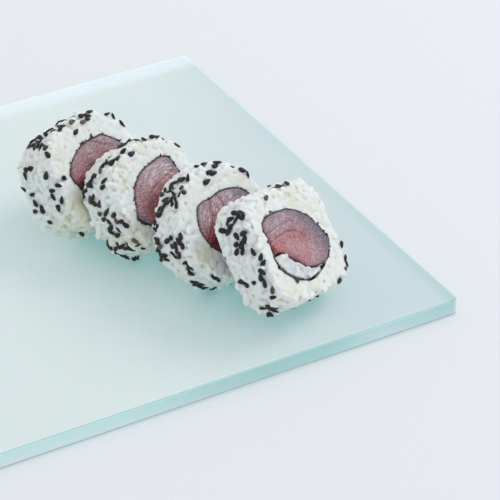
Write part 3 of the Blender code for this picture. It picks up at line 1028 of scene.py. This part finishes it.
def lay_grains(core, wanted, draw, allowed):
    """Places for grains all over a core. Where the knife passed they point every way."""
    spacing = 1.95 * MM
    # A normal that looks further up or down than this belongs to a cut face.
    flat = 0.8
    # This share of the wall's grains lies higher by so much.
    high_share, lift = 0.12, 0.6 * MM
    points, normals = spread_over(core, wanted, spacing, draw, allowed)
    places = []
    for point, normal in zip(points, normals):
        cut = abs(normal[2]) > flat
        tilt = draw.uniform(-0.9, 0.9) if cut else draw.normal(0, 0.16)
        rise = draw.uniform(-0.5, 0.1) * MM if cut else draw.uniform(-0.4, 0.2) * MM
        if not cut and draw.random() < high_share:
            rise += lift
        size = draw.uniform(0.86, 1.12)
        places.append(lying_place(point + normal * rise, normal, draw.normal(size=3), tilt, size))
    return places


def fuse_grains(core, places, settings):
    """Stick the grains to their core and to each other, as pressed rice does."""
    shape = grain_shape(settings)
    grains = joined_copies("grains", shape, places)
    activate(core)
    grains.select_set(True)
    bpy.ops.object.join()
    apply_modifier(core, "REMESH", mode="VOXEL", voxel_size=settings.voxel)
    keep_main_shell(core)
    apply_modifier(core, "SMOOTH", factor=0.5, iterations=5)
    lumps = bpy.data.textures.get("lumps") or bpy.data.textures.new("lumps", "CLOUDS")
    lumps.noise_scale = 1.3 * MM
    apply_modifier(core, "DISPLACE", texture=lumps, texture_coords="LOCAL", strength=0.7 * MM, mid_level=0.5)
    return core


def hollows(mesh, rounds):
    """How deep each vertex lies under its smoothed surroundings, in metres."""
    points = get_points(mesh)
    ends = np.empty(len(mesh.edges) * 2, np.int32)
    mesh.edges.foreach_get("vertices", ends)
    first, second = ends.reshape(-1, 2).T
    here, there = np.concatenate([first, second]), np.concatenate([second, first])
    neighbours = np.bincount(here, minlength=len(points))
    smooth = points.copy()
    for _ in range(rounds):
        for axis in range(3):
            total = np.bincount(here, weights=smooth[there, axis], minlength=len(points))
            smooth[:, axis] = total / neighbours
    normals = np.array([vertex.normal for vertex in mesh.vertices])
    return ((smooth - points) * normals).sum(axis=1)


def paint_grains(mesh, places, stains_and_shade, settings, draw):
    """Mark each vertex with its grain's tone, its stain, which is partly painted shade, and how deep it lies
    between grains, which the material paints as shade.
    """
    reach = settings.grain_length * 0.3
    gap_depth = 0.3 * MM
    tree = KDTree(len(places) * 3)
    for index, place in enumerate(places):
        for step in (-1, 0, 1):
            tree.insert(place @ Vector((0, 0, step * reach)), index)
    tree.balance()
    tones = draw.random(len(places))
    paint(mesh, "grain_tone", [tones[tree.find(point)[1]] for point in get_points(mesh)])
    # How deep each vertex lies between grains, which the rice material paints as shade.
    paint(mesh, "crevice_shade", np.clip(hollows(mesh, rounds=16) / gap_depth + 0.05, 0, 1))
    paint(mesh, "cream_and_shade", colour_share(get_points(mesh), stains_and_shade))


def soft_limit(values, limit, give):
    """Values held under a limit, past which they rise ever less."""
    over = np.maximum(values - limit, 0)
    return np.minimum(values, limit) + give * np.tanh(over / (2.5 * give))


def cut_flat(points, roll, margin, give):
    """Hold points between the cut faces of a roll, less a margin that they may overrun a little."""
    half = roll.length * MM / 2
    height = points[:, 2] + half
    points[:, 2] = np.sign(height) * soft_limit(np.abs(height), half - margin, give) - half


class URAMAKI_OT_rice(bpy.types.Operator):
    """Model the rice of each roll from its grains"""

    bl_idname = "uramaki.rice"
    bl_label = "Rice"

    def execute(self, context):
        settings = context.scene.uramaki_rice
        material = cooked_rice("cooked short-grain rice", settings.milky, settings.warm, settings)
        for number, roll in ROLLS.items():
            draw = np.random.default_rng(number)
            core = self.add_core(roll)
            places = self.lay(core, number, settings, draw) + self.line_nori(roll, draw)
            places += self.loosen(number, roll, draw)
            rice = fuse_grains(core, places, settings)
            self.press(rice.data, roll)
            paint_grains(rice.data, places, STAINS_AND_SHADE[number], settings, draw)
            rice.data.transform(roll_place(roll))
            finish_piece(rice, f"rice_of_roll_{number}", material, [f"rice_{number}"])
        return {"FINISHED"}

    def add_core(self, roll):
        """The ring of rice under the outermost grains, its rims rounded."""
        # How far the core stays under the wall, under each cut face and off the nori
        sink, trim, nori_gap = 0.5 * MM, 0.6 * MM, 0.15 * MM
        angles = np.linspace(0, math.tau, 96, endpoint=False)
        hole = polar(filling_radius(roll, angles) + nori_gap, angles)
        outside = polar(outer_radius(roll, angles) - sink, angles)
        core = circle_on(hole, -roll.length * MM / 2, "NOTHING")
        edit_all(core)
        bpy.ops.mesh.extrude_edges_move()
        leave_edit(outward=False)
        points = get_points(core.data)
        points[len(hole):, :2] = outside
        set_points(core.data, points)
        depth = roll.length * MM - 2 * trim
        apply_modifier(core, "SOLIDIFY", thickness=depth, offset=0, use_even_offset=False)
        self.round_outer_rims(core, roll)
        return core

    def round_outer_rims(self, core, roll):
        """Bevel the two rims between the wall and the cut faces, but not those at the hole."""
        radius = 2.7 * MM
        activate(core)
        bpy.ops.object.mode_set(mode="EDIT")
        bpy.ops.mesh.select_mode(type="EDGE")
        bpy.ops.mesh.select_all(action="DESELECT")
        bpy.ops.object.mode_set(mode="OBJECT")
        mesh = core.data
        points = get_points(mesh)
        angle = np.arctan2(points[:, 1], points[:, 0])
        between = (filling_radius(roll, angle) + outer_radius(roll, angle)) / 2
        outside = np.linalg.norm(points[:, :2], axis=1) > between
        for edge in mesh.edges:
            first, second = edge.vertices
            level = abs(points[first, 2] - points[second, 2]) < MM
            edge.select = bool(outside[first] and outside[second] and level)
        bpy.ops.object.mode_set(mode="EDIT")
        bpy.ops.mesh.bevel(offset=radius, segments=4, affect="EDGES", clamp_overlap=True)
        bpy.ops.mesh.select_mode(type="VERT")
        bpy.ops.object.mode_set(mode="OBJECT")

    def lay(self, core, number, settings, draw):
        """Grains on the wall and on both cut faces, clear of the other rolls and of the plate."""
        margin = 0.9 * MM

        def allowed(points, normals):
            outward = points[:, :2] / np.linalg.norm(points[:, :2], axis=1, keepdims=True)
            in_hole = (normals[:, :2] * outward).sum(axis=1) < -0.4
            return ~in_hole & outside_others(points, number, margin)

        return lay_grains(core.data, settings.grains, draw, allowed)

    def line_nori(self, roll, draw):
        """Places for the grains that lie along the nori on both cut faces."""
        places = []
        for angle in np.linspace(0, math.tau, 20, endpoint=False) + draw.uniform(0, 0.3):
            angle += draw.uniform(-0.08, 0.08)
            for side in (1, -1):
                sunk = draw.uniform(0.8, 1.25) * MM
                x, y = polar(float(filling_radius(roll, angle)) + draw.uniform(1.1, 1.5) * MM, angle)
                point = Vector((x, y, -sunk if side > 0 else sunk - roll.length * MM))
                direction = (-math.sin(angle), math.cos(angle), draw.normal(0, 0.2))
                places.append(lying_place(point, (0, 0, side), direction, draw.normal(0, 0.2), 1.0))
        return places

    def loosen(self, number, roll, draw):
        """Places for the grains that stick out of the wall."""
        places = []
        for degrees, down in LOOSE.get(number, ()):
            angle = math.radians(degrees)
            x, y = polar(float(outer_radius(roll, angle)) + draw.uniform(0.6, 1.2) * MM, angle)
            normal = (math.cos(angle), math.sin(angle), -0.3)
            places.append(lying_place((x, y, -down * MM), normal, draw.normal(size=3), 0.4, 1.0))
        return places

    def press(self, mesh, roll):
        """Flatten the rice where the knife, the nori and the plate pressed it."""
        nori_gap, plate_gap = 0.12 * MM, 0.05 * MM
        points = get_points(mesh)
        cut_flat(points, roll, margin=0.4 * MM, give=0.4 * MM)
        angle = np.arctan2(points[:, 1], points[:, 0])
        reach = np.linalg.norm(points[:, :2], axis=1)
        hole = filling_radius(roll, angle) + nori_gap
        points[:, :2] *= (np.maximum(reach, hole) / reach)[:, None]
        world = moved(points, roll_place(roll))
        world[:, 2] = np.clip(world[:, 2], PLATE_TOP + plate_gap, HIGHEST)
        set_points(mesh, moved(world, roll_place(roll).inverted()))


class URAMAKI_OT_inner_rice(bpy.types.Operator):
    """Model the rice that slipped inside the nori of the nearest roll"""

    bl_idname = "uramaki.inner_rice"
    bl_label = "Inner rice"

    def execute(self, context):
        settings = context.scene.uramaki_rice
        material = cooked_rice("rice soaked inside the nori", settings.inside, settings.milky, settings)
        roll = ROLLS[4]
        split = SPLITS[4]
        draw = np.random.default_rng(41)
        # How far the core stays under the rice's surface, off the nori's thickness and, in degrees,
        # inside the ends of its arc
        sink, sheet, trim = 0.9 * MM, 0.25 * MM, 5
        wanted, spacing = 110, 1.6 * MM
        # The grains stop at this x and keep this distance from the fish.
        right_end, border_gap = 2 * MM, 1.3 * MM
        border = smooth_line(split.line, 0)
        outline = np.vstack([
            filling_arc(roll, -sink - sheet, split.arc[0] + trim, split.arc[1] - trim),
            smooth_line(split.line, -sink)[::-1],
        ])
        core = slab(outline, -sink, -roll.length * MM + sink)
        # The order of the slab's faces changes from run to run, and that of a remeshed block doesn't.
        apply_modifier(core, "REMESH", mode="VOXEL", voxel_size=settings.voxel)

        def allowed(points, normals):
            return (points[:, 0] < right_end) & (distance_to(points, border) > border_gap)

        points, normals = spread_over(core.data, wanted, spacing, draw, allowed)
        places = [
            lying_place(
                point + normal * draw.uniform(-0.75, -0.3) * MM, normal, draw.normal(size=3),
                draw.normal(0, 0.16), draw.uniform(0.72, 0.95),
            )
            for point, normal in zip(points, normals)
        ]
        rice = fuse_grains(core, places, settings)
        apply_modifier(rice, "SMOOTH", factor=0.5, iterations=3)
        points = get_points(rice.data)
        cut_flat(points, roll, margin=0.2 * MM, give=0.3 * MM)
        angle = np.arctan2(points[:, 1], points[:, 0])
        reach = np.linalg.norm(points[:, :2], axis=1)
        # How far inside the nori's curve it ends, in millimetres
        inward = 0.24 - 0.9 * along_arc(BURIED, 4, angle) + 0.4 * along_arc(FOLDED, 4, angle)
        wall = filling_radius(roll, angle) - inward * MM
        points[:, :2] *= (np.minimum(reach, wall) / reach)[:, None]
        set_points(rice.data, points)
        paint_grains(rice.data, places, STAINS_AND_SHADE["inside"], settings, draw)
        rice.data.transform(roll_place(roll))
        finish_piece(rice, "rice_inside_roll_4", material, ["inner_rice_4"])
        return {"FINISHED"}


class URAMAKI_OT_seeds(bpy.types.Operator):
    """Scatter the sesame seeds over the rice"""

    bl_idname = "uramaki.seeds"
    bl_label = "Sesame seeds"

    def execute(self, context):
        settings = context.scene.uramaki_seeds
        material = toasted_sesame(settings)
        shape = self.seed_shape(settings)
        for number, roll in ROLLS.items():
            rice = bpy.data.objects.get(f"rice_of_roll_{number}")
            if rice is None:
                raise RuntimeError("The seeds lie on the rice, so the rice comes first")
            draw = np.random.default_rng(100 + number)
            places = self.lay(rice, number, roll, settings, draw)
            seeds = joined_copies("seeds", shape, places)
            paint(seeds.data, "seed_tone", np.repeat(draw.random(len(places)), len(shape.vertices)))
            seeds.data.transform(roll_place(roll))
            finish_piece(seeds, f"sesame_of_roll_{number}", material)
        return {"FINISHED"}

    def seed_shape(self, settings):
        """One seed: a flattened drop, pointed at one end of its own z axis."""
        deselect_all()
        bpy.ops.mesh.primitive_uv_sphere_add(
            segments=8, ring_count=7, radius=0.5, scale=(settings.width, settings.depth, settings.length),
        )
        bpy.ops.object.transform_apply(scale=True)
        seed = bpy.context.active_object
        apply_modifier(seed, "SIMPLE_DEFORM", deform_method="TAPER", deform_axis="Z", factor=0.75)
        mesh = seed.data
        bpy.data.objects.remove(seed)
        return mesh

    def lay(self, rice, number, roll, settings, draw):
        """Places for seeds along the roll's drifts, each lying on the grain beneath it."""
        to_roll = roll_place(roll).inverted()
        points = moved(get_points(rice.data), to_roll)
        faces = [face.vertices for face in rice.data.polygons]
        surface = BVHTree.FromPolygons([Vector(point) for point in points], faces)
        tries = 30
        places, taken = [], []
        for drift in DRIFTS[number]:
            line = np.subtract(drift.end, drift.start) * (math.radians(WALL_RADIUS), 1) * MM
            line /= np.linalg.norm(line)
            narrow = drift.spread < 0.9
            apart = (1.5 if drift.spread < 0.45 else 1.8) * MM
            for index in range(drift.count):
                for _ in range(tries):
                    part = (index + draw.random()) / drift.count
                    angle, along = drift.start + np.subtract(drift.end, drift.start) * part
                    stray = draw.uniform(-drift.spread, drift.spread)
                    angle = math.radians(angle) - line[1] * stray / WALL_RADIUS
                    along += line[0] * stray
                    turn = draw.normal(0, 0.55) if narrow else draw.uniform(0, math.pi)
                    place = self.settle(surface, number, angle, along, line, turn, settings, draw)
                    if place is None:
                        continue
                    if all((place.translation - other).length > apart for other in taken):
                        taken.append(place.translation)
                        places.append(place)
                        break
        return places

    def settle(self, surface, number, angle, along, line, turn, settings, draw):
        """The place of one seed on the rice, or nothing where it would touch something else."""
        roll = ROLLS[number]
        bottom_gap, margin = 0.3, 0.6 * MM
        if along > roll.length - bottom_gap:
            return None
        hit, normal = self.aim(surface, roll, angle, along)
        if hit is None:
            return None
        across = line[0] * math.cos(turn) - line[1] * math.sin(turn)
        down = line[0] * math.sin(turn) + line[1] * math.cos(turn)
        direction = (-math.sin(angle) * across, math.cos(angle) * across, -down)
        place = lying_place(
            hit + normal * draw.uniform(0.1, 0.4) * MM, normal, direction, draw.normal(0, 0.15),
            draw.uniform(0.85, 1.1),
        )
        ends = np.array([place @ Vector((0, 0, side * settings.length / 2)) for side in (-1, 1)])
        top = moved(ends, roll_place(roll))[:, 2].max()
        if top > HIGHEST - 0.7 * settings.depth or not outside_others(ends, number, margin).all():
            return None
        return place

    def aim(self, surface, roll, angle, along):
        """Where a seed dropped at a roll's wall or on its upper face lands, with the normal there."""
        away = 10 * MM
        outward = Vector((math.cos(angle), math.sin(angle), 0))
        reach = float(outer_radius(roll, angle))
        if along < 0:
            start = outward * (reach + along * MM)
            start.z = away
            direction = Vector((0, 0, -1))
        else:
            start = outward * (reach + away)
            start.z = -along * MM
            direction = -outward
        hit, normal, _, _ = surface.ray_cast(start, direction)
        return hit, normal


class URAMAKI_OT_nori(bpy.types.Operator):
    """Model the sheet of nori in each roll"""

    bl_idname = "uramaki.nori"
    bl_label = "Nori"

    def execute(self, context):
        settings = context.scene.uramaki_nori
        material = soaked_nori(settings)
        for number, roll in ROLLS.items():
            nori = self.add_sheet(number, roll, settings)
            nori.data.transform(roll_place(roll))
            finish_piece(nori, f"nori_of_roll_{number}", material, [f"nori_{number}"], 50)
        return {"FINISHED"}

    def add_sheet(self, number, roll, settings):
        """A sheet rolled to the filling's outline, its cut edges ragged."""
        # How far the sheet strays from the filling's curve, and the height of its ends
        stray, top = 0.25 * MM, -0.1 * MM
        tear_size, curl_size, curl_reach = 0.7 * MM, 1.6 * MM, 0.6 * MM
        buried_depth, flare, fold_rise = 2.2 * MM, 2.4 * MM, 0.35 * MM
        # The ragged part begins at this share of the way from the middle to a cut edge.
        inner, band = 0.9, 0.1

        def wave_at(angle):
            """How far the sheet strays from the filling's smooth curve at an angle."""
            return noise.noise((3 * math.cos(angle), 3 * math.sin(angle), 5.0 * number))

        angles = np.linspace(0, math.tau, 220, endpoint=False)
        wave = np.array([wave_at(angle) for angle in angles])
        outline = polar(filling_radius(roll, angles) + stray * wave, angles)
        depth = roll.length * MM + 2 * top
        nori = circle_on(outline, top, "NOTHING")
        steps = (0.03, 0.44, 0.06, 0.44, 0.03)
        edit_all(nori)
        for step in steps:
            bpy.ops.mesh.extrude_edges_move(TRANSFORM_OT_translate={"value": (0, 0, -depth * step)})
        leave_edit()
        apply_modifier(nori, "SOLIDIFY", thickness=settings.thickness, offset=0)
        points = get_points(nori.data)
        for point in points:
            level = 1 if point[2] > -roll.length * MM / 2 else -1
            edge = abs(point[2] + roll.length * MM / 2) / (depth / 2)
            if edge > inner:
                x, y, _ = point
                tear = noise.noise((x / tear_size, y / tear_size, 9.0 * level + number))
                curl = noise.noise((x / curl_size, y / curl_size, 3.0 * level - number))
                share = (edge - inner) / band
                angle = math.atan2(y, x)
                sunk = buried_depth * float(along_arc(BURIED, number, angle))
                fold = float(along_arc(FOLDED, number, angle))
                reach = np.linalg.norm(point[:2])
                outer = reach > float(filling_radius(roll, angle)) + stray * wave_at(angle)
                spread = curl_reach * curl
                spread += flare * max(0, curl - 0.12) if outer else -settings.fold * fold * (0.7 + curl)
                point[2] += level * (settings.ragged * tear + fold_rise * fold - sunk) * share
                point[:2] *= 1 + spread * share / reach
        set_points(nori.data, points)
        return nori


class URAMAKI_OT_fish(bpy.types.Operator):
    """Model the cuts of raw fish inside the nori"""

    bl_idname = "uramaki.fish"
    bl_label = "Fish"

    def execute(self, context):
        settings = context.scene.uramaki_fish
        sink = 0.15 * MM
        material = raw_fish(settings)
        for name, (number, outline) in self.outlines().items():
            roll = ROLLS[number]
            fish = slab(outline, -sink, -roll.length * MM + sink)
            apply_modifier(fish, "REMESH", mode="VOXEL", voxel_size=settings.voxel)
            apply_modifier(fish, "SMOOTH", factor=0.5, iterations=4)
            self.shape_flesh(fish.data, roll, outline, FLESH[name], settings)
            self.mark_flesh(fish.data, roll, FLESH[name])
            fish.data.transform(roll_place(roll))
            finish_piece(fish, f"{name}_cut", material, [name])
        return {"FINISHED"}

    def outlines(self):
        """The roll and the outline of each cut, up to its nori and its neighbour."""
        found = {}
        for number in (1, 2):
            found[f"fish_{number}"] = (number, filling_arc(ROLLS[number], 0, 0, 360)[:-1])
        for number, split in SPLITS.items():
            first, last = split.arc
            around = filling_arc(ROLLS[number], 0, last, first + 360)
            found[f"fish_{number}"] = (number, np.vstack([around, smooth_line(split.line, 0)]))
        first, last = SPLITS[3].arc
        around = filling_arc(ROLLS[3], 0, first, last)
        line = smooth_line(SPLITS[3].line, 0)[::-1]
        found["fish_3b"] = (3, np.vstack([around, line]))
        return found

    def seam_distance(self, points, flesh):
        """Distance of each point to the nearest seam, across the cut face."""
        return np.min([distance_to(points, smooth_line(line, 0)) for line in flesh.seams], axis=0)

    def shape_flesh(self, mesh, roll, outline, flesh, settings):
        """Swell the cut faces a little, raise the fibres on them and press in the seams."""
        rounding = 1.6 * MM
        groove, groove_width = 0.25 * MM, 0.4 * MM
        relief, wide, fine = 0.12 * MM, 2.4 * MM, MM
        points = get_points(mesh)
        rim = distance_to(points, np.vstack([outline, outline[:1]]))
        middle = -roll.length * MM / 2
        height = points[:, 2] - middle
        near_face = np.clip((np.abs(height) / (roll.length * MM / 2) - 0.8) / 0.15, 0, 1)
        swell = settings.crown * (1 - np.exp(-rim / rounding))
        swell -= groove * np.exp(-(self.seam_distance(points, flesh) / groove_width) ** 2)
        waves = np.array([
            noise.noise((x / wide, y / wide, 0.5)) + 0.5 * noise.noise((x / fine, y / fine, 4.0))
            for x, y, _ in points
        ])
        points[:, 2] += np.sign(height) * near_face * (swell + relief * waves)
        set_points(mesh, points)

    def mark_flesh(self, mesh, roll, flesh):
        """Mark each vertex with its distance from the nori and a seam, its fibres and its colours."""
        points = get_points(mesh)
        around = np.arctan2(points[:, 1], points[:, 0])
        paint(mesh, "rim", (filling_radius(roll, around) - np.linalg.norm(points[:, :2], axis=1)) / MM)
        paint(mesh, "seam", self.seam_distance(points, flesh) / MM)
        for colour in ("slate", "mauve", "pale", "red"):
            paint(mesh, colour, colour_share(points, getattr(flesh, colour)))
        away = points[:, :2] - np.array(flesh.rings) * MM
        across = np.linalg.norm(away, axis=1)
        along = np.arctan2(away[:, 1], away[:, 0]) * max(8 * MM, np.median(across))
        fibre = mesh.attributes.new("fibre", "FLOAT_VECTOR", "POINT")
        lines = np.stack([across, along, points[:, 2]], axis=1) / MM
        fibre.data.foreach_set("vector", lines.astype(np.float32).ravel())


class URAMAKI_PT_panel(bpy.types.Panel):
    """The rolls' operators and their settings in the 3D view's sidebar"""

    bl_idname = "URAMAKI_PT_panel"
    bl_label = "Uramaki rolls"
    bl_space_type = "VIEW_3D"
    bl_region_type = "UI"
    bl_category = "Uramaki"

    def draw(self, context):
        for operator in OPERATORS:
            self.layout.operator(operator.bl_idname)
        for name, group in GROUPS.items():
            box = self.layout.box()
            for key in group.__annotations__:
                box.prop(getattr(context.scene, name), key)


OPERATORS = (
    URAMAKI_OT_stage,
    URAMAKI_OT_plate,
    URAMAKI_OT_rice,
    URAMAKI_OT_inner_rice,
    URAMAKI_OT_seeds,
    URAMAKI_OT_nori,
    URAMAKI_OT_fish,
)


def register():
    """Add the settings, the operators and the panel to Blender."""
    for name, group in GROUPS.items():
        bpy.utils.register_class(group)
        setattr(bpy.types.Scene, name, PointerProperty(type=group))
    for operator in OPERATORS:
        bpy.utils.register_class(operator)
    bpy.utils.register_class(URAMAKI_PT_panel)


def unregister():
    """Take away what register added."""
    bpy.utils.unregister_class(URAMAKI_PT_panel)
    for operator in reversed(OPERATORS):
        bpy.utils.unregister_class(operator)
    for name, group in reversed(GROUPS.items()):
        delattr(bpy.types.Scene, name)
        bpy.utils.unregister_class(group)


def main():
    """Dress the rolls and their plate."""
    register()
    bpy.ops.uramaki.stage()
    bpy.ops.uramaki.plate()
    bpy.ops.uramaki.rice()
    bpy.ops.uramaki.inner_rice()
    bpy.ops.uramaki.seeds()
    bpy.ops.uramaki.nori()
    bpy.ops.uramaki.fish()


if __name__ == "__main__":
    main()
